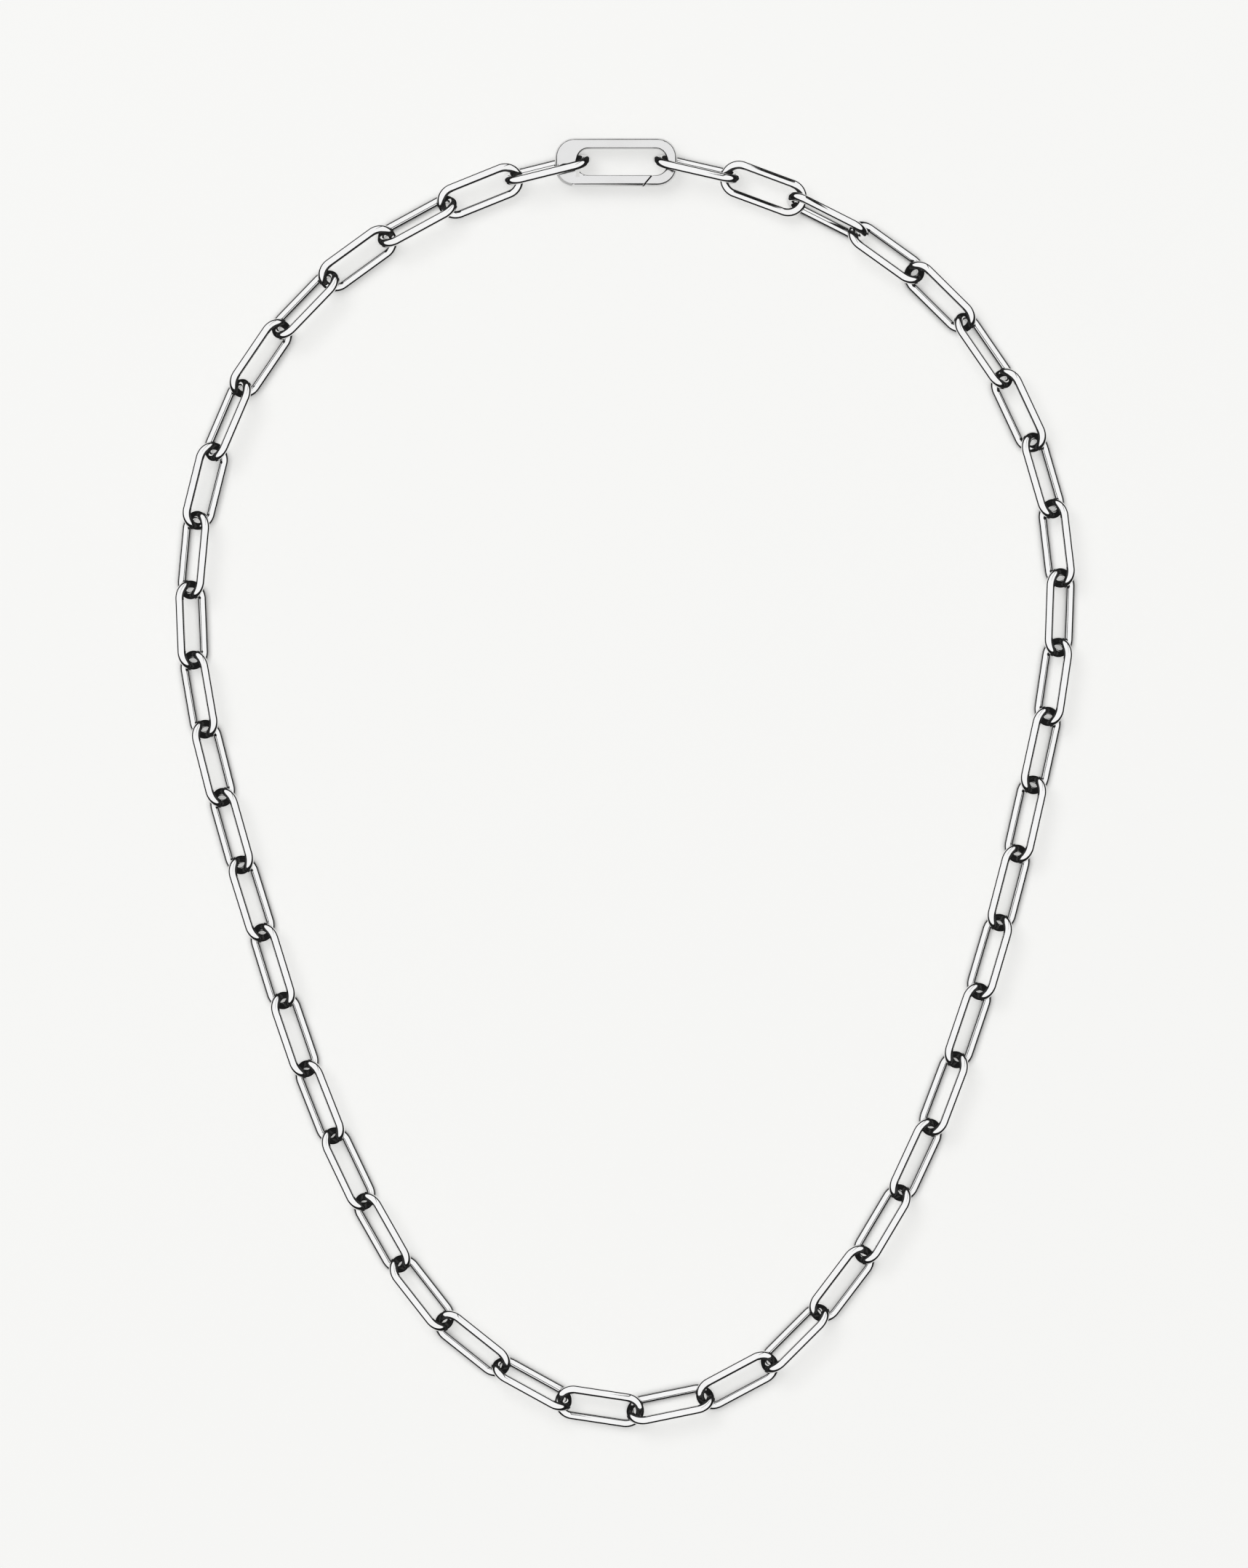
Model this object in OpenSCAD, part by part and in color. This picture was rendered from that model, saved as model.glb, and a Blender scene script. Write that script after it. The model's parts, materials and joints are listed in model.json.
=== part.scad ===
// Paperclip chain: a closed necklace of long links with a flat gate clasp, as it lies on a table.
// Millimetres. The loop lies on z = 0, the clasp is at +Y, and the origin is under the middle.

/* [Chain] */
// Number of links between the two ends of the clasp, always even
link_count = 46; // [42:2:50]
// Length of a link over its two bends
link_length = 12.5; // [11:0.1:14]
// Width of a link over its two arms
link_width = 5.3; // [5:0.1:6.5]
// Diameter of the round wire
wire_d = 1.2; // [0.9:0.05:1.25]
// Gap between two wires that hook into each other, where the chain is pulled straight
link_gap = 0.16; // [0.14:0.02:0.4]
// What a loose joint has on top of that gap
slack_gap = 0.38; // [0:0.02:0.5]

/* [Clasp frame] */
// Width of the clasp over its two bars
clasp_width = 6.6; // [6:0.1:8]
// Length of the slot that the end links hang in
slot_length = 12.4; // [11:0.1:16]
// Width of the slot
slot_width = 3.7; // [3.4:0.1:4.2]
// Length of solid metal beyond the slot at the hinge end
hinge_end = 3; // [2.8:0.1:3.6]
// Length of solid metal beyond the slot at the plain end
plain_end = 1.4; // [1:0.1:2.5]
// Radius of the clasp's outside corners
clasp_corner = 2.7; // [2.4:0.1:3]
// Radius of the slot's corners
slot_corner = 1.6; // [1.2:0.1:1.7]
// Width of the bevel along the outside edges, seen from above
clasp_bevel = 0.3; // [0.1:0.05:0.4]
// How far down the side that bevel reaches
bevel_drop = 0.6; // [0.1:0.05:0.6]
// Bevel along the edges of the slot
slot_bevel = 0.15; // [0.05:0.05:0.25]
// Gap between a face of the clasp and the arm of an end link
face_gap = 0.26; // [0.24:0.02:0.4]
// Gap between the bend of an end link and the end of the slot
end_gap = 0.8; // [0.5:0.1:1.2]

/* [Clasp gate] */
// Gap round the gate
gate_gap = 0.12; // [0.1:0.01:0.16]
// Distance along the slot from the bend of the end link to the cut
cut_margin = 0.15; // [0.1:0.05:0.6]
// Slant of the cut away from a square one
cut_slant = 40; // [20:1:50]
// Thickness of the shelf that the knuckle turns on
shelf_t = 0.6; // [0.5:0.05:0.8]
// Diameter of the hinge pin
pin_d = 0.8; // [0.6:0.05:1]
// Metal left above the hinge pin
pin_cover = 0.5; // [0.3:0.05:0.7]
// Gap round the pin where the gate turns on it
pin_gap = 0.06; // [0.04:0.01:0.1]
// Gap round the pin where it is pressed into the shelf
press_gap = 0.01; // [0.01:0.01:0.03]

/* [Hidden] */
function link_name(i) = str("link_", i < 10 ? "0" : "", i);
LINK_NAMES = [for (i = [1 : link_count]) link_name(i)];
$fn = 48;

// The line that the chain lies along, from the clasp down the left side and back up the right
ROUTE = [
    [-6, 85.5], [-16, 83], [-28.5, 77.5], [-40.5, 69.5], [-52.5, 55], [-59, 36], [-59.5, 17],
    [-55.5, -2], [-50, -20.5], [-44, -39], [-36, -57.5], [-25, -74], [-17.5, -80], [-8.5, -85],
    [1, -86.5], [11, -84.5], [19.5, -80], [27, -72.5], [38, -56], [45.5, -38], [51.5, -19],
    [56, -0.5], [59.5, 18.5], [59.5, 33], [56, 47], [46.5, 63.5], [31.5, 76], [23.5, 80],
    [14, 83.5], [5, 85.5]
];
// Twist along the chain: [number of the link, degrees]
TWIST = [
    [1, 29], [2, 20], [3, 12], [4, 14], [6, 4], [7, 11], [9, 4], [11, 0], [20, 0],
    [23, -20], [24, -4], [25, -14], [27, -9], [29, -2], [38, 0], [41, 9], [42, 4], [43, -1],
    [44, -28], [45, -56], [46, -59]
];
// Where the joints are loose: [number of the joint, share of the slack]
SLACK = [[13, 0.8], [16, 0], [31, 0.1], [35, 1]];
// Roll of an untwisted link, to one side and to the other in turn
lie_roll = 45;
// Distance of the slot's middle inside the line between the two end links
slot_lean = 0.15;
// Straight stretch that is left between two round corners, at the least
corner_flat = 0.1;
// Distance of the pivot inside the lower edge of the slot
pivot_in = 0.1;
// How far the room for the knuckle cuts past the solid metal at the hinge end, on each side
knuckle_over = 0.02;
// Where the thin part of the gate over the shelf ends, as a share of the knuckle's radius
shelf_reach = 0.8;

// Half the straight run of a link, the radius of its bends and half the length of its wire line
wire_r = wire_d / 2;
run_half = (link_length - link_width) / 2;
bend_r = (link_width - wire_d) / 2;
line_half = link_length / 2 - wire_r;

// A joint is where two neighbours cross. Joint 0 is in the clasp, joint k after link k.
function joint_gap(k) = link_gap + slack_gap * lookup(k, SLACK);
function pitch(i) = link_length - 2 * wire_d - (joint_gap(i - 1) + joint_gap(i)) / 2;
clasp_span = slot_length - 2 * end_gap - wire_d + 2 * line_half - (pitch(1) + pitch(link_count)) / 2;
pitches = [for (i = [1 : link_count]) pitch(i)];
chain_length = pitches * [for (i = [1 : link_count]) 1];
loop_length = chain_length + clasp_span;

// A smooth closed curve through ROUTE, as a list of points with the way travelled to each
route_n = len(ROUTE);
curve_steps = 12;
curve_n = route_n * curve_steps;
function row(i) = ROUTE[(i + route_n) % route_n];
function leg(i) = row(i + 1) - row(i);
function slope(i) =
    let (a = norm(leg(i - 1)), b = norm(leg(i)))
    (a * leg(i) / b + b * leg(i - 1) / a) / (a + b);
function between(i, t) =
    (2 * t ^ 3 - 3 * t ^ 2 + 1) * row(i)
    + (t ^ 3 - 2 * t ^ 2 + t) * norm(leg(i)) * slope(i)
    + (3 * t ^ 2 - 2 * t ^ 3) * row(i + 1)
    + (t ^ 3 - t ^ 2) * norm(leg(i)) * slope(i + 1);
curve = [for (k = [0 : curve_n]) between(floor(k / curve_steps), (k % curve_steps) / curve_steps)];
steps = [for (k = [1 : curve_n]) norm(curve[k] - curve[k - 1])];
travel = [for (k = 0, s = 0; k <= curve_n; s = s + (k < curve_n ? steps[k] : 0), k = k + 1) s];
curve_x = [for (k = [0 : curve_n]) [travel[k], curve[k].x]];
curve_y = [for (k = [0 : curve_n]) [travel[k], curve[k].y]];

// The curve is scaled so that the chain and its clasp just close it
lie_scale = loop_length / travel[curve_n];
function on_curve(s) =
    let (t = (s + loop_length) % loop_length / lie_scale)
    lie_scale * [lookup(t, curve_x), lookup(t, curve_y)];

// Roll of link i, and the height of its middle when its lower arm touches the table
function roll(i) = (i % 2 == 1 ? lie_roll : -lie_roll) + lookup(i, TWIST);
function lie_height(i) = bend_r * abs(sin(roll(i))) + wire_r;
function joint_height(k) = lie_height(k == 0 ? 1 : k);
function shared_height(k) = k == 0 || k == link_count ? joint_height(k)
    : max(lie_height(k), lie_height(k + 1));

// The joints on the table, the clasp's two an equal way from the middle of its side of ROUTE
first_joint = (clasp_span - norm(leg(-1)) * lie_scale) / 2;
joint_travel = [for (k = 0, s = first_joint; k <= link_count;
                     s = s + (k < link_count ? pitches[k] : 0), k = k + 1) s];
joints = [for (k = [0 : link_count])
    let (p = on_curve(joint_travel[k]))
    [p.x, p.y, shared_height(k)]];

// Directions of link i: along the chain, and across the link towards its inner arm
function unit(a) = a / norm(a);
function along(i) = unit(joints[i] - joints[i - 1]);
function inward(u) = unit(cross([0, 0, 1], u));
function across(i) =
    let (u = along(i), h = inward(u))
    cos(roll(i)) * h + sin(roll(i)) * cross(u, h);
function middle(i) = (joints[i] + joints[i - 1]) / 2;

// The clasp lies flat on the lower arms of the two end links and under their upper arms
end_opening = 2 * min(lie_height(1), lie_height(link_count)) - 2 * wire_d;
clasp_t = end_opening - 2 * face_gap;
clasp_z = wire_d + face_gap;
clasp_x_axis = unit([joints[link_count].x - joints[0].x, joints[link_count].y - joints[0].y, 0]);
clasp_y_axis = cross([0, 0, 1], clasp_x_axis);
slot_middle = (joints[0] + joints[link_count]) / 2 - slot_lean * clasp_y_axis;

// Clasp sizes in its own frame: x to the plain end, y to the outside of the loop, z up from its
// underside, with the middle of the slot at the origin
slot_end = slot_length / 2;
frame_left = -slot_end - hinge_end;
frame_right = slot_end + plain_end;
frame_corner = min(clasp_corner, clasp_width / 2 - corner_flat);
slot_round = min(slot_corner, slot_width / 2 - corner_flat);
pivot = [-slot_end - hinge_end / 2, pivot_in - slot_width / 2];
knuckle_r = hinge_end / 2 - gate_gap + knuckle_over;
seam_y = pivot.y + knuckle_r / 2;
shoulder = [slot_round / 4 - slot_end, pivot.y - knuckle_r / 4];
toe_x = pivot.x + shelf_reach * knuckle_r;
cut_x = slot_end - end_gap - wire_d - cut_margin;
pin_length = clasp_t - pin_cover;
far = 2 * (hinge_end + slot_length);

// Reach of the loop along an axis e, from the round ends of the links and of the clasp
function link_reach(i, e) =
    run_half * abs(along(i) * e) + bend_r * norm([along(i) * e, across(i) * e]) + wire_r;
function link_high(i, e) = middle(i) * e + link_reach(i, e);
function link_low(i, e) = middle(i) * e - link_reach(i, e);
clasp_middle = slot_middle + (frame_left + frame_right) / 2 * clasp_x_axis;
function clasp_high(e) = clasp_middle * e + frame_corner
    + ((frame_right - frame_left) / 2 - frame_corner) * abs(clasp_x_axis * e)
    + (clasp_width / 2 - frame_corner) * abs(clasp_y_axis * e);
function high(e) = max([for (i = [1 : link_count]) link_high(i, e)]);
function low(e) = min([for (i = [1 : link_count]) link_low(i, e)]);
x_axis = [1, 0, 0];
y_axis = [0, 1, 0];
centre = [
    (high(x_axis) + low(x_axis)) / 2,
    (max(high(y_axis), clasp_high(y_axis)) + low(y_axis)) / 2,
    0
];

// Puts its children at a place with their own x and y directions
module placed(p, x, y) {
    z = cross(x, y);
    multmatrix([[x.x, y.x, z.x, p.x], [x.y, y.y, z.y, p.y], [x.z, y.z, z.z, p.z]])
        children();
}

// One link, lying along x with its arms at plus and minus y
module link() {
    color("silver")
        for (side = [-1, 1]) {
            translate([-run_half, side * bend_r, 0])
                rotate([0, 90, 0])
                    cylinder(h = 2 * run_half, r = wire_r);
            translate([side * run_half, 0, 0])
                rotate([0, 0, -90 * side])
                    rotate_extrude(angle = 180)
                        translate([bend_r, 0])
                            circle(r = wire_r);
        }
}

module placed_link(i) {
    placed(middle(i) - centre, along(i), across(i))
        link();
}

module placed_clasp() {
    placed([slot_middle.x, slot_middle.y, clasp_z] - centre, clasp_x_axis, clasp_y_axis)
        children();
}

// A plate with round corners and bevelled edges, centred on y
module plate(left, right, width, corner, height, bevel, drop) {
    for (side_x = [-1, 1], side_y = [-1, 1])
        translate([side_x < 0 ? left + corner : right - corner, side_y * (width / 2 - corner), 0])
            rotate([0, 0, atan2(side_y, side_x) - 45])
                rotate_extrude(angle = 90)
                    polygon([[0, 0], [corner - bevel, 0], [corner, drop], [corner, height - drop],
                             [corner - bevel, height], [0, height]]);
    translate([left + corner, 0, 0])
        rotate([90, 0, 90])
            linear_extrude(right - left - 2 * corner)
                bar_section(-width / 2, width / 2, height, bevel, drop);
    translate([0, width / 2 - corner, 0])
        rotate([90, 0, 0])
            linear_extrude(width - 2 * corner)
                bar_section(left, right, height, bevel, drop);
}

module bar_section(a, b, height, bevel, drop) {
    polygon([[a + bevel, 0], [b - bevel, 0], [b, drop], [b, height - drop],
             [b - bevel, height], [a + bevel, height], [a, height - drop], [a, drop]]);
}

module slot_outline() {
    for (side_x = [-1, 1], side_y = [-1, 1])
        translate([side_x * (slot_end - slot_round), side_y * (slot_width / 2 - slot_round)])
            circle(r = slot_round);
    square([slot_length - 2 * slot_round, slot_width], center = true);
    square([slot_length, slot_width - 2 * slot_round], center = true);
}

// The clasp before it is parted into frame and gate
module whole_clasp() {
    difference() {
        plate(frame_left, frame_right, clasp_width, frame_corner, clasp_t, clasp_bevel, bevel_drop);
        translate([0, 0, -clasp_t])
            linear_extrude(3 * clasp_t)
                slot_outline();
        for (z = [clasp_t - slot_bevel, -2 * slot_bevel])
            translate([0, 0, z])
                plate(-slot_end - slot_bevel, slot_end + slot_bevel, slot_width + 2 * slot_bevel,
                      slot_round + slot_bevel, 3 * slot_bevel, slot_bevel, slot_bevel);
    }
}

module on_pivot(r, z, h) {
    translate([pivot.x, pivot.y, z])
        cylinder(h = h, r = r);
}

module slab(points, z, h) {
    translate([0, 0, z])
        linear_extrude(h)
            polygon(points);
}

// A point of the slanted cut at a given y, moved along x by a gap
function cut_at(y, gap) = [cut_x + gap + (y + slot_width / 2) * tan(cut_slant), y];

// What is cleared from the frame for the gate, from a given x on
module gate_room(from_x, z, h) {
    gap = gate_gap / cos(cut_slant);
    slab([[from_x, seam_y + gate_gap], [-slot_end, seam_y + gate_gap], [-slot_end, 0],
          cut_at(0, gap), cut_at(-clasp_width, gap), [from_x, -clasp_width]], z, h);
}

module clasp_frame() {
    color("silver")
        placed_clasp()
            difference() {
                whole_clasp();
                gate_room(-far, shelf_t, clasp_t);
                difference() {
                    gate_room(pivot.x, -clasp_t, 2 * clasp_t);
                    on_pivot(knuckle_r, -2 * clasp_t, 4 * clasp_t);
                }
                on_pivot(knuckle_r + gate_gap, shelf_t, clasp_t);
                on_pivot(pin_d / 2 + press_gap, -clasp_t, 3 * clasp_t);
            }
}

module clasp_gate() {
    under = shelf_t + gate_gap;
    color("silver")
        placed_clasp()
            difference() {
                intersection() {
                    whole_clasp();
                    union() {
                        slab([[-far, seam_y], [pivot.x, seam_y], [pivot.x, shoulder.y], shoulder,
                              [shoulder.x, 0], cut_at(0, 0), cut_at(-clasp_width, 0),
                              [-far, -clasp_width]], -clasp_t, 3 * clasp_t);
                        on_pivot(knuckle_r, -clasp_t, 3 * clasp_t);
                    }
                }
                on_pivot(knuckle_r + gate_gap, -clasp_t, clasp_t + under);
                slab([[-far, -far], [toe_x, -far], [toe_x, far], [-far, far]], -clasp_t, clasp_t + under);
                on_pivot(pin_d / 2 + pin_gap, -clasp_t, clasp_t + pin_length + pin_gap);
            }
}

module hinge_pin() {
    color("silver")
        placed_clasp()
            on_pivot(pin_d / 2, 0, pin_length);
}

for (i = [1 : link_count])
    placed_link(i);
clasp_frame();
clasp_gate();
hinge_pin();
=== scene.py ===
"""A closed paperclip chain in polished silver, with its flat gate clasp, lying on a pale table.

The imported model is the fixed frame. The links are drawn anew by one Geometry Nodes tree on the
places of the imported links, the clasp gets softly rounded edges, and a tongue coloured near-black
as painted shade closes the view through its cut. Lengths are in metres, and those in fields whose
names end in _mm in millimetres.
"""

import json
import logging
import math
from collections.abc import Sequence
from dataclasses import dataclass
from enum import Enum

import bmesh
import bpy
import numpy as np
from mathutils import Matrix, Vector

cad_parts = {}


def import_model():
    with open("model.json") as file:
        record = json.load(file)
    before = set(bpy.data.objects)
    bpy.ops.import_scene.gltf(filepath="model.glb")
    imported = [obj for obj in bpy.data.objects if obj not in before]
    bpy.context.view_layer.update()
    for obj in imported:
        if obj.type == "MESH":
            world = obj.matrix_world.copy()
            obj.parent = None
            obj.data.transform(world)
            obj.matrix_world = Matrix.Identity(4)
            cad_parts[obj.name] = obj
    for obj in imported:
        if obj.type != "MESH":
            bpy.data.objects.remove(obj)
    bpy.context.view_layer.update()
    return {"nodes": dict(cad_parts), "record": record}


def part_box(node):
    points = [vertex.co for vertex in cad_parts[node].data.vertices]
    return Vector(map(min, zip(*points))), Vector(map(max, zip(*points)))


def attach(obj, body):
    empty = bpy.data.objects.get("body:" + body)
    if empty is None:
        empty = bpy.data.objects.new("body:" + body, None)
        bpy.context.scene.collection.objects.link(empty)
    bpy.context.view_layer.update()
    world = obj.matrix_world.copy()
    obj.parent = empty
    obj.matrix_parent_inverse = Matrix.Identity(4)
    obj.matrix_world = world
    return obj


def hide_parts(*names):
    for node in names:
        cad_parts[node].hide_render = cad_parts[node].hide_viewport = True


MM = 0.001
log = logging.getLogger("paperclip_chain")

# What feeds a node's input: another node's socket, or else a number or a colour.
Socket = bpy.types.NodeSocket
Sockets = bpy.types.bpy_prop_collection
Colour = tuple[float, float, float, float]
Feed = Socket | float
Paint = Socket | Colour


class Body(Enum):
    """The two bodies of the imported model."""

    CHAIN = "chain"
    GATE = "gate"


class Slot(Enum):
    """The names of the record's material slots; the script doesn't use them."""

    LINKS = "link_silver"
    CLASP = "clasp_silver"


class Graph:
    """A node tree that is filled one node at a time."""

    def __init__(self, tree: bpy.types.NodeTree) -> None:
        """Starts on an empty tree.

        Args:
            tree: the tree to fill; what it holds is removed.
        """
        self.tree = tree
        self.tree.nodes.clear()

    def add(self, kind: str, inputs: dict[str | int, object] | None = None,
            **settings: object) -> bpy.types.Node:
        """Adds a node.

        Args:
            kind: Blender's name of the node's type.
            inputs: what feeds each input, by name or number: a socket, or a plain value.
            settings: the node's own settings.

        Returns:
            The new node.
        """
        node = self.tree.nodes.new(kind)
        for name, value in settings.items():
            setattr(node, name, value)
        for key, value in (inputs or {}).items():
            socket = node.inputs[key]
            if isinstance(value, Socket):
                self.tree.links.new(value, socket)
            else:
                socket.default_value = value
        return node

    def maths(self, operation: str, *values: Feed) -> Socket:
        """Adds a Math node.

        Args:
            operation: its operation.
            values: a socket or a number for each input.

        Returns:
            Its output.
        """
        node = self.add("ShaderNodeMath", dict(enumerate(values)), operation=operation)
        return node.outputs[0]

    def ramp(self, value: Feed, low: float, high: float, to_low: float = 0.0,
             to_high: float = 1.0, smooth: bool = True) -> Socket:
        """Maps a value from one range to another, held at its ends.

        Args:
            value: the socket to map.
            low: the value that gives to_low.
            high: the value that gives to_high.
            to_low: the result at low.
            to_high: the result at high.
            smooth: whether the ends are eased.

        Returns:
            The mapped value.
        """
        kind = "SMOOTHSTEP" if smooth else "LINEAR"
        node = self.add("ShaderNodeMapRange", {0: value, 1: low, 2: high, 3: to_low, 4: to_high},
                        interpolation_type=kind)
        return node.outputs[0]

    def mix(self, share: Feed, a: Paint, b: Paint) -> Socket:
        """Mixes two colours.

        Args:
            share: how much of b, as a socket or a number.
            a: a colour or a socket.
            b: a colour or a socket.

        Returns:
            The mixed colour.
        """
        # A Mix node has its own sockets for each kind of data: 6, 7 and output 2 are the colours.
        node = self.add("ShaderNodeMix", {0: share, 6: a, 7: b}, data_type="RGBA")
        return node.outputs[2]


def grey(level: float, warmth: float = 0.0) -> Colour:
    """A linear grey, a little warm where warmth is above 0.

    Args:
        level: its brightness.
        warmth: how much red is above blue.

    Returns:
        The colour with full alpha.
    """
    return (level + warmth / 2, level, level - warmth / 2, 1.0)


def new_group(name: str, ins: dict[str, tuple[str, float]],
              outs: dict[str, str]) -> tuple[bpy.types.NodeTree, Graph]:
    """Makes a shader node group with named sockets.

    Args:
        name: the group's name.
        ins: for each input its kind (Float or Vector) and its value.
        outs: for each output its kind.

    Returns:
        The group and the graph that fills it.
    """
    tree = bpy.data.node_groups.new(name, "ShaderNodeTree")
    for label, (kind, value) in ins.items():
        socket = tree.interface.new_socket(label, in_out="INPUT", socket_type="NodeSocket" + kind)
        if kind == "Float":
            socket.default_value = value
    for label, kind in outs.items():
        tree.interface.new_socket(label, in_out="OUTPUT", socket_type="NodeSocket" + kind)
    return tree, Graph(tree)


@dataclass(frozen=True)
class PolishMarks:
    """The marks of polishing and wear that every silver piece shares, as one node group.

    Attributes:
        wave_mm: length of the slow waves that polishing leaves.
        hairline_mm: spacing of the hairline scratches.
        smudge_mm: size of the patches that are a little less bright.
        hairline_edge: the noise levels between which a hairline deepens.
        smudge_edge: the noise levels between which a smudge sets in.
    """

    wave_mm: float = 2.6
    hairline_mm: float = 0.11
    smudge_mm: float = 4.5
    hairline_edge: tuple[float, float] = (0.35, 0.7)
    smudge_edge: tuple[float, float] = (0.42, 0.72)

    def _noise(self, g: Graph, place: Socket, size_mm: float, detail: float) -> Socket:
        """Adds a noise.

        Args:
            g: the graph to add it to.
            place: the vector that it is read at.
            size_mm: the size of its spots.
            detail: how much finer noise is laid over it.

        Returns:
            The noise's level.
        """
        return g.add("ShaderNodeTexNoise", {"Vector": place, "Scale": 1 / (size_mm * MM),
                                            "Detail": detail}).outputs[0]

    def group(self) -> bpy.types.NodeTree:
        """Builds the group.

        Returns:
            The group: from a place and a grain vector it makes a height for bump, a roughness and
            a mask of smudges.
        """
        tree, g = new_group(
            "polish_marks",
            {"Place": ("Vector", 0), "Grain": ("Vector", 0), "Hairlines": ("Float", 0.4),
             "Waves": ("Float", 1.0), "Least Roughness": ("Float", 0.04),
             "Most Roughness": ("Float", 0.1)},
            {"Height": "Float", "Roughness": "Float", "Smudge": "Float"})
        source = g.add("NodeGroupInput").outputs
        waves = self._noise(g, source["Place"], self.wave_mm, detail=1.0)
        smudge = self._noise(g, source["Place"], self.smudge_mm, detail=3.0)
        lines = self._noise(g, source["Grain"], self.hairline_mm, detail=2.0)
        fine = g.ramp(lines, *self.hairline_edge)
        patch = g.ramp(smudge, *self.smudge_edge)
        height = g.maths("ADD", g.maths("MULTIPLY", waves, source["Waves"]),
                         g.maths("MULTIPLY", fine, source["Hairlines"]))
        spread = g.maths("SUBTRACT", source["Most Roughness"], source["Least Roughness"])
        share = g.maths("MULTIPLY", g.maths("ADD", fine, patch), 0.5)
        rough = g.maths("ADD", g.maths("MULTIPLY", spread, share), source["Least Roughness"])
        g.add("NodeGroupOutput", {"Height": height, "Roughness": rough, "Smudge": patch})
        return tree


@dataclass(frozen=True)
class SilverFinish:
    """Silver with the marks of its polish.

    Attributes:
        name: the material's name.
        level: how bright the metal is.
        dulled: how bright its smudged patches are.
        smudge_warmth: how much redder than blue they are.
        least_roughness: roughness of the brightest polish.
        most_roughness: roughness in smudges and on hairlines.
        hairlines: height of the hairlines beside the waves.
        waves: height of the slow waves.
        bump_mm: what a height of one stands for.
        grain_stretch: how the hairlines are drawn out along x, y and z.
        grain_attribute: attribute that the hairlines follow, or an empty name for the place.
    """

    name: str
    level: float = 0.93
    dulled: float = 0.9
    smudge_warmth: float = 0.004
    least_roughness: float = 0.05
    most_roughness: float = 0.12
    hairlines: float = 0.1
    waves: float = 1.0
    bump_mm: float = 0.004
    grain_stretch: tuple[float, float, float] = (1.0, 1.0, 1.0)
    grain_attribute: str = ""

    def material(self, marks: bpy.types.NodeTree) -> bpy.types.Material:
        """Builds the material.

        Args:
            marks: the node group of polish marks.

        Returns:
            The material.
        """
        made = bpy.data.materials.new(self.name)
        made.use_nodes = True
        g = Graph(made.node_tree)
        place = g.add("ShaderNodeTexCoord").outputs["Object"]
        grain = place
        if self.grain_attribute:
            named = g.add("ShaderNodeAttribute", attribute_name=self.grain_attribute)
            grain = named.outputs["Vector"]
        drawn = g.add("ShaderNodeMapping", {"Vector": grain, "Scale": self.grain_stretch})
        polish = g.add("ShaderNodeGroup", node_tree=marks)
        for name, value in {"Hairlines": self.hairlines, "Waves": self.waves,
                            "Least Roughness": self.least_roughness,
                            "Most Roughness": self.most_roughness}.items():
            polish.inputs[name].default_value = value
        g.tree.links.new(place, polish.inputs["Place"])
        g.tree.links.new(drawn.outputs[0], polish.inputs["Grain"])
        colour = g.mix(polish.outputs["Smudge"], grey(self.level),
                       grey(self.dulled, self.smudge_warmth))
        bump = g.add("ShaderNodeBump", {"Height": polish.outputs["Height"], "Strength": 1.0,
                                        "Distance": self.bump_mm * MM})
        shader = g.add("ShaderNodeBsdfPrincipled",
                       {"Base Color": colour, "Metallic": 1.0, "Normal": bump.outputs[0],
                        "Roughness": polish.outputs["Roughness"]})
        g.add("ShaderNodeOutputMaterial", {0: shader.outputs[0]})
        return made


LINK_FINISH = SilverFinish("polished_link_silver", least_roughness=0.03, most_roughness=0.07,
                           bump_mm=0.002, grain_attribute="wire_grain")
# The clasp's silver is darker than the links' (levels 0.79 and 0.77): painted shade for the dimmer
# overhead that its flat faces mirror. Its higher roughness is its buffing.
CLASP_FINISH = SilverFinish("buffed_clasp_silver_painted_shade", level=0.79, dulled=0.77, least_roughness=0.12,
                            most_roughness=0.2, hairlines=0.3, waves=0.5, bump_mm=0.003,
                            grain_stretch=(0.05, 1.0, 1.0))
# The tongue's near-black colour is painted shade, standing for the shadow down in the slanted cut.
TONGUE_PAINTED_SHADE = SilverFinish("painted_shade_cut_silver", level=0.02, dulled=0.012, least_roughness=0.5,
                             most_roughness=0.7, hairlines=0.5, grain_stretch=(1.0, 1.0, 0.05))
PIN_FINISH = SilverFinish("drawn_pin_silver", level=0.86, dulled=0.82, least_roughness=0.15,
                          most_roughness=0.25, grain_stretch=(1.0, 1.0, 0.05))


def plain_mesh(source: bpy.types.Object, name: str) -> bpy.types.Object:
    """Turns what an object's modifiers make into a plain mesh object, and removes the source.

    Args:
        source: the object with the modifiers.
        name: name of the new object.

    Returns:
        The new object, at the origin.
    """
    graph = bpy.context.evaluated_depsgraph_get()
    mesh = bpy.data.meshes.new_from_object(source.evaluated_get(graph), depsgraph=graph)
    source.modifiers.clear()
    bpy.data.objects.remove(source)
    mesh.name = name
    made = bpy.data.objects.new(name, mesh)
    bpy.context.scene.collection.objects.link(made)
    return made


def object_from(name: str, points: np.ndarray,
                faces: Sequence[Sequence[int]] = ()) -> bpy.types.Object:
    """Makes a mesh object.

    Args:
        name: its name.
        points: its points, one in each row.
        faces: its faces, as lists of point numbers.

    Returns:
        The object, at the origin.
    """
    mesh = bpy.data.meshes.new(name)
    mesh.from_pydata([tuple(p) for p in points], [], [tuple(f) for f in faces])
    mesh.update()
    made = bpy.data.objects.new(name, mesh)
    bpy.context.scene.collection.objects.link(made)
    return made


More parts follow.
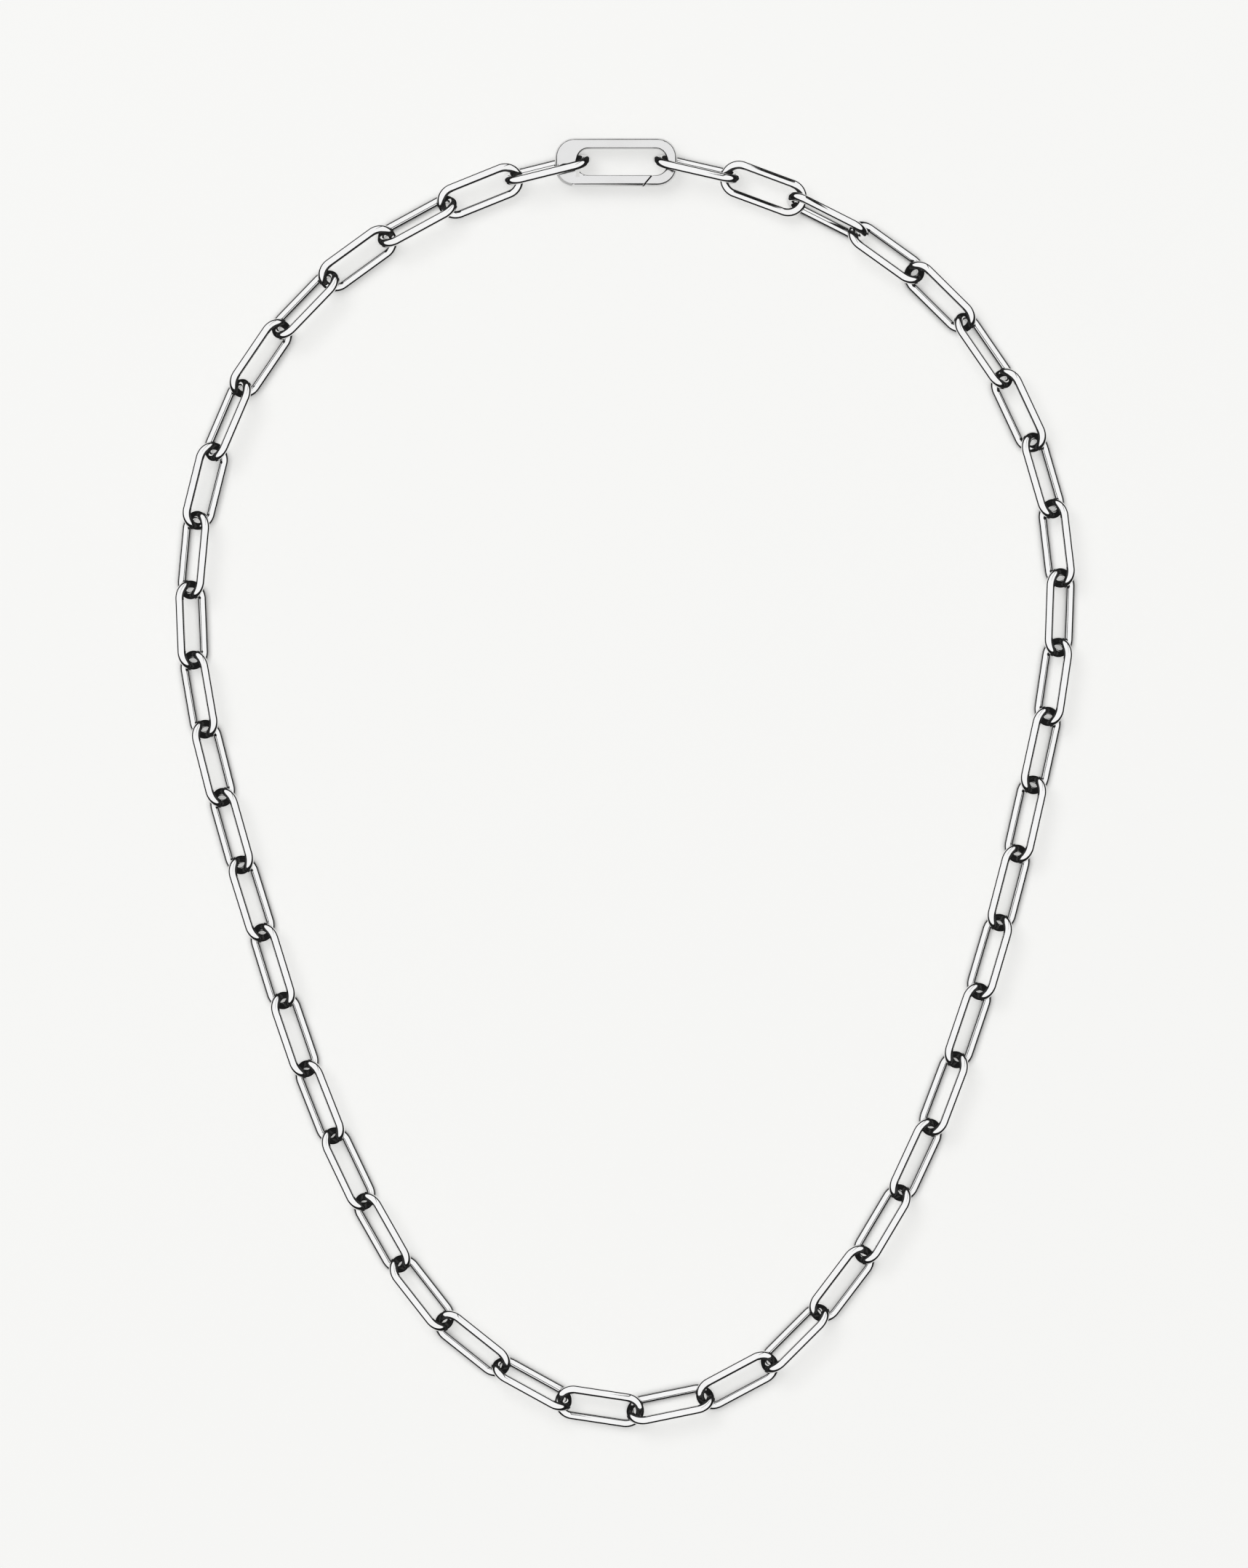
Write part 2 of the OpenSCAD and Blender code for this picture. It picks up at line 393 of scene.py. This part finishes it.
@dataclass
class LinkChain:
    """The round-wire links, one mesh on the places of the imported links.

    Attributes:
        nodes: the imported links' objects by name, in order along the chain.
        wire: diameter of the wire.
        length: length of a link over its bends.
        width: width of a link over its arms.
        rings: rings of the wire along a link.
        sides: sides of the round wire.
        grain_loop: radius of the circle that the grain runs along once round a link.
        grain_slant: how much that circle's second axis adds to the run.
    """

    nodes: dict[str, bpy.types.Object]
    wire: float = 1.2 * MM
    length: float = 12.5 * MM
    width: float = 5.3 * MM
    rings: int = 62
    sides: int = 32
    grain_loop: float = 1.5 * MM
    grain_slant: float = 0.7

    def place(self, node: bpy.types.Object) -> tuple[np.ndarray, list[float]]:
        """Finds where a packed link lies.

        Args:
            node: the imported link.

        Returns:
            Its middle, and its turn as a quaternion: x along the link, y across its arms.
        """
        mesh = node.data
        points = np.empty(len(mesh.vertices) * 3)
        mesh.vertices.foreach_get("co", points)
        corners = np.empty(len(mesh.loops), int)
        mesh.loops.foreach_get("vertex_index", corners)
        triangles = points.reshape(-1, 3)[corners.reshape(-1, 3)]
        a, b, c = triangles[:, 0], triangles[:, 1], triangles[:, 2]
        area = np.linalg.norm(np.cross(b - a, c - a), axis=1)
        spots = np.concatenate([(a + b) / 2, (b + c) / 2, (c + a) / 2])
        weight = np.concatenate([area, area, area])
        middle = weight @ spots / weight.sum()
        spread = (spots - middle).T @ ((spots - middle) * weight[:, None])
        axes = np.linalg.eigh(spread)[1]
        along, across = axes[:, 2], axes[:, 1]
        turn = Matrix(np.column_stack([along, across, np.cross(along, across)]).tolist())
        return middle, list(turn.to_quaternion())

    def places(self) -> bpy.types.Object:
        """Makes a point for each link, with its turn as an attribute.

        Returns:
            The object that holds the points.
        """
        found = [self.place(node) for node in self.nodes.values()]
        made = object_from("link_places", np.array([middle for middle, _ in found]))
        turn = made.data.attributes.new("turn", "QUATERNION", "POINT")
        turn.data.foreach_set("value", [x for _, quaternion in found for x in quaternion])
        return made

    def tree(self) -> bpy.types.NodeTree:
        """Builds the Geometry Nodes tree that puts a link on each point.

        Returns:
            The tree.
        """
        tree = bpy.data.node_groups.new("wire_links", "GeometryNodeTree")
        face = tree.interface
        face.new_socket("Geometry", in_out="INPUT", socket_type="NodeSocketGeometry")
        for label in ("Wire Diameter", "Link Length", "Link Width"):
            face.new_socket(label, in_out="INPUT", socket_type="NodeSocketFloat")
        for label in ("Rings", "Sides"):
            face.new_socket(label, in_out="INPUT", socket_type="NodeSocketInt")
        face.new_socket("Silver", in_out="INPUT", socket_type="NodeSocketMaterial")
        face.new_socket("Geometry", in_out="OUTPUT", socket_type="NodeSocketGeometry")
        g = Graph(tree)
        source = g.add("NodeGroupInput").outputs

        bend = g.maths("MULTIPLY", g.maths("SUBTRACT", source["Link Width"],
                                           source["Wire Diameter"]), 0.5)
        run = g.maths("MULTIPLY", g.maths("SUBTRACT", source["Link Length"],
                                          source["Link Width"]), 0.5)
        ring = g.add("GeometryNodeCurvePrimitiveCircle",
                     {"Resolution": source["Rings"], "Radius": bend})
        oval = g.add("GeometryNodeSetPosition",
                     {"Geometry": ring.outputs["Curve"], "Offset": self._pulled_out(g, run)})
        along = self._round_vector(g)
        path = g.add("GeometryNodeCaptureAttribute", {"Geometry": oval.outputs[0]})
        path.capture_items.new("VECTOR", "Along")
        g.tree.links.new(along, path.inputs["Along"])
        outline = g.add("GeometryNodeCurvePrimitiveCircle",
                        {"Resolution": source["Sides"],
                         "Radius": g.maths("MULTIPLY", source["Wire Diameter"], 0.5)})
        around = g.add("GeometryNodeCaptureAttribute", {"Geometry": outline.outputs["Curve"]})
        around.capture_items.new("VECTOR", "Around")
        g.tree.links.new(g.add("GeometryNodeInputPosition").outputs[0], around.inputs["Around"])
        wire = g.add("GeometryNodeCurveToMesh", {"Curve": path.outputs["Geometry"],
                                                 "Profile Curve": around.outputs["Geometry"]})
        smooth = g.add("GeometryNodeSetShadeSmooth", {"Geometry": wire.outputs[0]})
        grain = self._grain(g, around.outputs["Around"], path.outputs["Along"])
        marked = g.add("GeometryNodeStoreNamedAttribute",
                       {"Geometry": smooth.outputs[0], "Name": "wire_grain", "Value": grain},
                       data_type="FLOAT_VECTOR", domain="POINT")
        turn = g.add("GeometryNodeInputNamedAttribute", {"Name": "turn"}, data_type="QUATERNION")
        links = g.add("GeometryNodeInstanceOnPoints",
                      {"Points": source["Geometry"], "Instance": marked.outputs[0],
                       "Rotation": turn.outputs[0]})
        real = g.add("GeometryNodeRealizeInstances", {"Geometry": links.outputs[0]})
        dressed = g.add("GeometryNodeSetMaterial",
                        {"Geometry": real.outputs[0], "Material": source["Silver"]})
        g.add("NodeGroupOutput", {0: dressed.outputs[0]})
        return tree

    def _pulled_out(self, g: Graph, run: Socket) -> Socket:
        """Makes the offset that pulls a ring's two halves apart.

        Args:
            g: the graph to add it to.
            run: how far each half goes.

        Returns:
            The offset.
        """
        place = g.add("GeometryNodeInputPosition").outputs[0]
        x = g.add("ShaderNodeSeparateXYZ", {0: place}).outputs[0]
        return g.add("ShaderNodeCombineXYZ",
                     {"X": g.maths("MULTIPLY", g.maths("SIGN", x), run)}).outputs[0]

    def _round_vector(self, g: Graph) -> Socket:
        """Makes a vector that runs once round the grain's circle along a closed curve.

        Args:
            g: the graph to add it to.

        Returns:
            The vector.
        """
        factor = g.add("GeometryNodeSplineParameter").outputs["Factor"]
        angle = g.maths("MULTIPLY", factor, 2 * math.pi)
        return g.add("ShaderNodeCombineXYZ",
                     {"X": g.maths("MULTIPLY", g.maths("COSINE", angle), self.grain_loop),
                      "Y": g.maths("MULTIPLY", g.maths("SINE", angle), self.grain_loop)}).outputs[0]

    def _grain(self, g: Graph, around: Socket, along: Socket) -> Socket:
        """Makes the grain vector, fast round the wire and slow along it, so that lines run with it.

        Args:
            g: the graph to add it to.
            around: the place in the wire's outline.
            along: the place along the link.

        Returns:
            The vector.
        """
        out = g.add("ShaderNodeSeparateXYZ", {0: around}).outputs
        run = g.add("ShaderNodeSeparateXYZ", {0: along}).outputs
        slow = g.maths("ADD", run[0], g.maths("MULTIPLY", run[1], self.grain_slant))
        return g.add("ShaderNodeCombineXYZ", {"X": out[0], "Y": out[1], "Z": slow}).outputs[0]

    def build(self, silver: bpy.types.Material) -> bpy.types.Object:
        """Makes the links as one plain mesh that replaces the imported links.

        Args:
            silver: the links' material.

        Returns:
            The piece.
        """
        places = self.places()
        modifier = places.modifiers.new("links", "NODES")
        modifier.node_group = self.tree()
        values = {"Wire Diameter": self.wire, "Link Length": self.length, "Link Width": self.width,
                  "Rings": self.rings, "Sides": self.sides, "Silver": silver}
        for item in modifier.node_group.interface.items_tree:
            if item.in_out == "INPUT" and item.name in values:
                modifier[item.identifier] = values[item.name]
        piece = plain_mesh(places, "wire_links")
        if not piece.data.materials:
            piece.data.materials.append(silver)
        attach(piece, Body.CHAIN.value)
        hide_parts(*self.nodes)
        return piece


@dataclass
class ClaspDress:
    """The clasp: frame and gate with softly rounded edges, the pin, and the tongue in the cut.

    Attributes:
        nodes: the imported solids' objects by name.
        pivot: where the gate's hinge is.
        edge: width of the rounding along an edge.
        steps: faces across the rounding.
        sharp_deg: how far two faces turn at an edge that is rounded.
        crisp: how far round the hinge the edges stay crisp.
        wall_mm: the two ends of the gate's slanted end wall, seen from above.
        tongue_mm: how far the tongue is let into the gate, and how far it stands out.
        tongue_drop: how far it stays below the clasp's top face and above its bottom face.
        weld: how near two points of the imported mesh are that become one.
        flat_deg: how far two faces turn that become one.
    """

    nodes: dict[str, bpy.types.Object]
    pivot: Vector
    edge: float = 0.1 * MM
    steps: int = 3
    sharp_deg: float = 24.0
    crisp: float = 2.1 * MM
    wall_mm: tuple[tuple[float, float], tuple[float, float]] = ((2.35, 81.92), (3.57, 83.37))
    tongue_mm: tuple[float, float] = (0.08, 0.09)
    tongue_drop: float = 0.66 * MM
    weld: float = 0.001 * MM
    flat_deg: float = 0.5

    def dress(self, node: str, silver: bpy.types.Material) -> bpy.types.Object:
        """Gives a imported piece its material.

        Args:
            node: its name.
            silver: its material.

        Returns:
            The piece.
        """
        piece = self.nodes[node]
        piece.data.materials.clear()
        piece.data.materials.append(silver)
        return piece

    def rounded(self, node: str, body: Body, silver: bpy.types.Material) -> bpy.types.Object:
        """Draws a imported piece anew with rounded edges.

        Args:
            node: its name.
            body: the body that it rides on.
            silver: its material.

        Returns:
            The piece that replaces it.
        """
        mesh = self.nodes[node].data.copy()
        shape = bmesh.new()
        shape.from_mesh(mesh)
        bmesh.ops.remove_doubles(shape, verts=shape.verts, dist=self.weld)
        bmesh.ops.dissolve_limit(shape, angle_limit=math.radians(self.flat_deg),
                                 verts=shape.verts, edges=shape.edges)
        rounding = shape.edges.layers.float.new("bevel_weight_edge")
        for line in shape.edges:
            away = sum((v.co for v in line.verts), Vector()) / 2 - self.pivot
            sharp = line.calc_face_angle(0) > math.radians(self.sharp_deg)
            line[rounding] = float(sharp and away.xy.length > self.crisp)
            line.smooth = not sharp or line[rounding] > 0
        shape.to_mesh(mesh)
        shape.free()
        mesh.shade_smooth()
        draft = bpy.data.objects.new(node + "_draft", mesh)
        bpy.context.scene.collection.objects.link(draft)
        modifier = draft.modifiers.new("edge", "BEVEL")
        modifier.limit_method = "WEIGHT"
        modifier.width = self.edge
        modifier.segments = self.steps
        modifier.use_clamp_overlap = False
        modifier.harden_normals = True
        piece = plain_mesh(draft, node + "_rounded")
        piece.data.materials.clear()
        piece.data.materials.append(silver)
        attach(piece, body.value)
        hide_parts(node)
        return piece

    def tongue(self, silver: bpy.types.Material) -> bpy.types.Object:
        """Makes the tongue that closes the view through the slanted cut; its black is painted
        shade.

        Args:
            silver: its material.

        Returns:
            The piece, which rides on the gate.
        """
        low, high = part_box("clasp_gate")
        a, b = (Vector(spot) * MM for spot in self.wall_mm)
        along = (b - a).normalized()
        out = Vector((along.y, -along.x))
        inward, outward = (x * MM for x in self.tongue_mm)
        ring = [a - out * inward, b - out * inward, b + out * outward, a + out * outward]
        levels = (low[2] + self.tongue_drop, high[2] - self.tongue_drop)
        points = np.array([(*spot, z) for z in levels for spot in ring])
        around = [(i, (i + 1) % 4) for i in range(4)]
        faces = [(0, 1, 2, 3), (7, 6, 5, 4)] + [(i, i + 4, j + 4, j) for i, j in around]
        piece = object_from("gate_tongue", points, faces)
        piece.data.materials.append(silver)
        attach(piece, Body.GATE.value)
        return piece


@dataclass
class Studio:
    """A white room with a dark strip round the horizon, a lit pale table and the camera above it.

    Attributes:
        dome: brightness of the room as the silver sees it.
        strip: brightness of the dark strip.
        strip_way_deg: way to the highest part of the strip.
        strip_low_deg: height of its lowest part.
        strip_high_deg: height of its highest part.
        strip_soft_deg: how soft its upper edge is.
        boom_way_deg: way to the dark boom that stands by the table.
        boom_half_deg: half of its width.
        boom_foot_deg: height of its foot.
        boom_head_deg: height of its top.
        boom_edge: how soft its foot and top are.
        boom_side: how soft its sides are, as a share of its half width.
        fill: brightness of the room as the table sees it.
        backdrop: brightness of the room as the camera sees it.
        key_watts: power of the key light.
        key_size: side of the key light.
        key_from: direction from the chain to the key light.
        key_distance: its distance.
        table_half: half of the table's side.
        table_level: brightness of the table's surface.
        table_blue: how much blue its white has.
        table_glow: light that comes up through the table.
        shade_reach: how near silver has to be for the table's glow to fade: painted contact shadow.
        shade_samples: rays that find how open a spot of the table is.
        shade_open: openness where the glow is off in the painted shadow, and where it is full.
        graze_deg: how steeply the silver must see the table to see it pale, and to see it painted
            dark.
        twice_dark: how dark the table and the room are where one wire sees them in another.
        close_dark: how dark the table is right beside a wire that sees it: painted contact shadow.
        close_reach: how far the wire sees to the table where that starts, and where it is full.
        view_distance: from the camera to the table.
        view_height: what the photograph's height spans on the table.
        view_shift: where the camera stands, seen from the origin.
        view_start: how near the camera begins to see.
    """

    dome: float = 0.99
    strip: float = 0.01
    strip_way_deg: float = -70.0
    strip_low_deg: float = 7.0
    strip_high_deg: float = 27.0
    strip_soft_deg: float = 2.0
    boom_way_deg: float = 69.0
    boom_half_deg: float = 3.5
    boom_foot_deg: float = 10.0
    boom_head_deg: float = 66.0
    boom_edge: float = 0.02
    boom_side: float = 0.2
    fill: float = 0.3
    backdrop: float = 0.92
    key_watts: float = 20.0
    key_size: float = 1.8
    key_from: tuple[float, float, float] = (-0.45, 0.55, 1.2)
    key_distance: float = 3.0
    table_half: float = 3.0
    table_level: float = 0.9
    table_blue: float = 0.985
    table_glow: float = 0.5
    shade_reach: float = 1.2 * MM
    shade_samples: int = 8
    shade_open: tuple[float, float] = (0.2, 0.85)
    graze_deg: tuple[float, float] = (37.0, 28.0)
    twice_dark: float = 0.97
    close_dark: float = 0.75
    close_reach: tuple[float, float] = (2.6 * MM, 0.6 * MM)
    view_distance: float = 1.2
    view_height: float = 215.6 * MM
    view_shift: tuple[float, float] = (-0.2 * MM, -0.1 * MM)
    view_start: float = 10 * MM

    def room(self) -> None:
        """Builds the world: what the silver mirrors, and the plain light that the table gets."""
        world = bpy.data.worlds.new("white_room")
        bpy.context.scene.world = world
        world.use_nodes = True
        g = Graph(world.node_tree)
        ways = g.add("ShaderNodeSeparateXYZ",
                     {0: g.add("ShaderNodeTexCoord").outputs["Generated"]}).outputs
        wall = g.mix(self._over_strip(g, ways), grey(self.strip), grey(self.dome))
        wall = g.mix(self._boom(g, ways), wall, grey(self.strip))
        path = g.add("ShaderNodeLightPath").outputs
        wall = g.mix(self._twice(g, path), wall, grey(self.strip))
        lit = g.mix(path["Is Glossy Ray"], grey(self.fill), wall)
        seen = g.mix(path["Is Camera Ray"], lit, grey(self.backdrop))
        background = g.add("ShaderNodeBackground", {"Color": seen, "Strength": 1.0})
        g.add("ShaderNodeOutputWorld", {0: background.outputs[0]})

    def _over_strip(self, g: Graph, ways: Sockets) -> Socket:
        """Makes the share of the pale room above the dark strip.

        Args:
            g: the graph to add it to.
            ways: the direction's x, y and z.

        Returns:
            The share, from 0 in the strip to 1 above it.
        """
        low, high, soft = (math.sin(math.radians(a)) for a in
                           (self.strip_low_deg, self.strip_high_deg, self.strip_soft_deg))
        top = g.ramp(self._facing(g, ways, self.strip_way_deg), -1.0, 1.0, low, high, smooth=False)
        over = g.maths("DIVIDE", g.maths("SUBTRACT", ways[2], top), soft)
        return g.ramp(over, -1.0, 1.0)

    def _boom(self, g: Graph, ways: Sockets) -> Socket:
        """Makes the share of the dark boom.

        Args:
            g: the graph to add it to.
            ways: the direction's x, y and z.

        Returns:
            The share, from 0 beside the boom to 1 in it.
        """
        half, foot, head = (math.radians(a) for a in
                            (self.boom_half_deg, self.boom_foot_deg, self.boom_head_deg))
        up, edge = ways[2], self.boom_edge
        outer, inner = (math.cos(half * (1 + side)) for side in (self.boom_side, -self.boom_side))
        beside = g.ramp(self._facing(g, ways, self.boom_way_deg), outer, inner)
        over_foot = g.ramp(up, math.sin(foot) - edge, math.sin(foot) + edge)
        under_head = g.ramp(up, math.sin(head) + edge, math.sin(head) - edge)
        return g.maths("MULTIPLY", beside, g.maths("MULTIPLY", over_foot, under_head))

    def _twice(self, g: Graph, path: Sockets) -> Socket:
        """Makes the share of dark in what one wire sees in another.

        Args:
            g: the graph to add it to.
            path: the outputs of its Light Path node.

        Returns:
            The share.
        """
        return g.maths("MULTIPLY", g.ramp(path["Glossy Depth"], 1.0, 2.0), self.twice_dark)

    def _facing(self, g: Graph, ways: Sockets, way_deg: float) -> Socket:
        """Makes how far the level part of a direction points one way.

        Args:
            g: the graph to add it to.
            ways: the direction's x, y and z.
            way_deg: the way, counted from +X towards +Y.

        Returns:
            The cosine of the angle between the two.
        """
        x, y = ways[0], ways[1]
        square = g.maths("ADD", g.maths("MULTIPLY", x, x), g.maths("MULTIPLY", y, y))
        least_level = 1e-4
        level = g.maths("MAXIMUM", g.maths("SQRT", square), least_level)
        way = math.radians(way_deg)
        dot = g.maths("ADD", g.maths("MULTIPLY", x, math.cos(way)),
                      g.maths("MULTIPLY", y, math.sin(way)))
        return g.maths("DIVIDE", dot, level)

    def key(self) -> None:
        """Adds the soft key light, which the silver doesn't mirror."""
        data = bpy.data.lights.new("key_softbox", "AREA")
        data.shape = "SQUARE"
        data.size = self.key_size
        data.energy = self.key_watts
        lamp = bpy.data.objects.new("key_softbox", data)
        lamp.visible_glossy = False
        bpy.context.scene.collection.objects.link(lamp)
        way = Vector(self.key_from).normalized()
        lamp.location = way * self.key_distance
        lamp.rotation_euler = way.to_track_quat("Z", "Y").to_euler()

    def table(self) -> None:
        """Adds the pale table, lit from below, which the silver sees dark where it grazes it."""
        half = self.table_half
        corners = np.array([(-half, -half, 0), (half, -half, 0), (half, half, 0), (-half, half, 0)])
        table = object_from("table", corners, [(0, 1, 2, 3)])
        made = bpy.data.materials.new("pale_table")
        made.use_nodes = True
        g = Graph(made.node_tree)
        level, blue = self.table_level, self.table_blue
        matt = g.add("ShaderNodeBsdfDiffuse", {"Color": (level, level, level * blue, 1.0)})
        # Ambient occlusion dims the table's glow next to the silver: painted contact shadow on the
        # table.
        painted_shadow_openness = g.add("ShaderNodeAmbientOcclusion", {"Distance": self.shade_reach},
                         samples=self.shade_samples)
        glow = g.ramp(painted_shadow_openness.outputs["AO"], *self.shade_open, 0.0, self.table_glow, smooth=False)
        light = g.add("ShaderNodeEmission", {"Color": (1.0, 1.0, blue, 1.0), "Strength": glow})
        pale = g.add("ShaderNodeAddShader", {0: matt.outputs[0], 1: light.outputs[0]})
        # Only for rays off the silver, the table is painted dark: a painted dark reflection where
        # it is grazed, painted contact shadow right beside a wire, and painted shade from one wire
        # in another.
        dark = g.add("ShaderNodeEmission", {"Color": grey(self.strip), "Strength": 1.0})
        slant = g.add("ShaderNodeLayerWeight", {"Blend": 0.5}).outputs["Facing"]
        pale_from, dark_from = (1 - math.sin(math.radians(a)) for a in self.graze_deg)
        path = g.add("ShaderNodeLightPath").outputs
        close = g.maths("MULTIPLY", g.ramp(path["Ray Length"], *self.close_reach), self.close_dark)
        share = g.maths("MULTIPLY", path["Is Glossy Ray"],
                        g.maths("MAXIMUM", g.ramp(slant, pale_from, dark_from),
                                g.maths("MAXIMUM", self._twice(g, path), close)))
        seen = g.add("ShaderNodeMixShader", {0: share, 1: pale.outputs[0], 2: dark.outputs[0]})
        g.add("ShaderNodeOutputMaterial", {0: seen.outputs[0]})
        table.data.materials.append(made)

    def camera(self) -> None:
        """Adds the camera straight above, framed as the photograph is."""
        data = bpy.data.cameras.new("camera")
        data.sensor_fit = "VERTICAL"
        data.angle = 2 * math.atan(self.view_height / 2 / self.view_distance)
        data.clip_start = self.view_start
        camera = bpy.data.objects.new("camera", data)
        camera.location = (*self.view_shift, self.view_distance)
        bpy.context.scene.collection.objects.link(camera)
        bpy.context.scene.camera = camera

    def build(self) -> None:
        """Builds the room, the light, the table and the camera."""
        self.room()
        self.key()
        self.table()
        self.camera()
        view = bpy.context.scene.view_settings
        view.view_transform = "Standard"
        view.look = "None"


def main() -> None:
    """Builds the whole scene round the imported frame."""
    logging.basicConfig(level=logging.INFO, format="%(name)s: %(message)s")
    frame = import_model()
    nodes = frame["nodes"]
    marks = PolishMarks().group()
    links = {name: nodes[name] for name in sorted(nodes) if name.startswith("link_")}
    pieces = [LinkChain(links).build(LINK_FINISH.material(marks))]
    hinge = frame["record"]["behaviour"]["joints"][0]["pos_m"]
    clasp = ClaspDress(nodes, Vector(hinge))
    silver = CLASP_FINISH.material(marks)
    for name, body in (("clasp_frame", Body.CHAIN), ("clasp_gate", Body.GATE)):
        pieces.append(clasp.rounded(name, body, silver))
    pieces.append(clasp.dress("hinge_pin", PIN_FINISH.material(marks)))
    # The tongue is near-black as painted shade in the cut.
    pieces.append(clasp.tongue(TONGUE_PAINTED_SHADE.material(marks)))
    for piece in pieces:
        log.info("%s: %d faces", piece.name, len(piece.data.polygons))
    Studio().build()


if __name__ == "__main__":
    main()
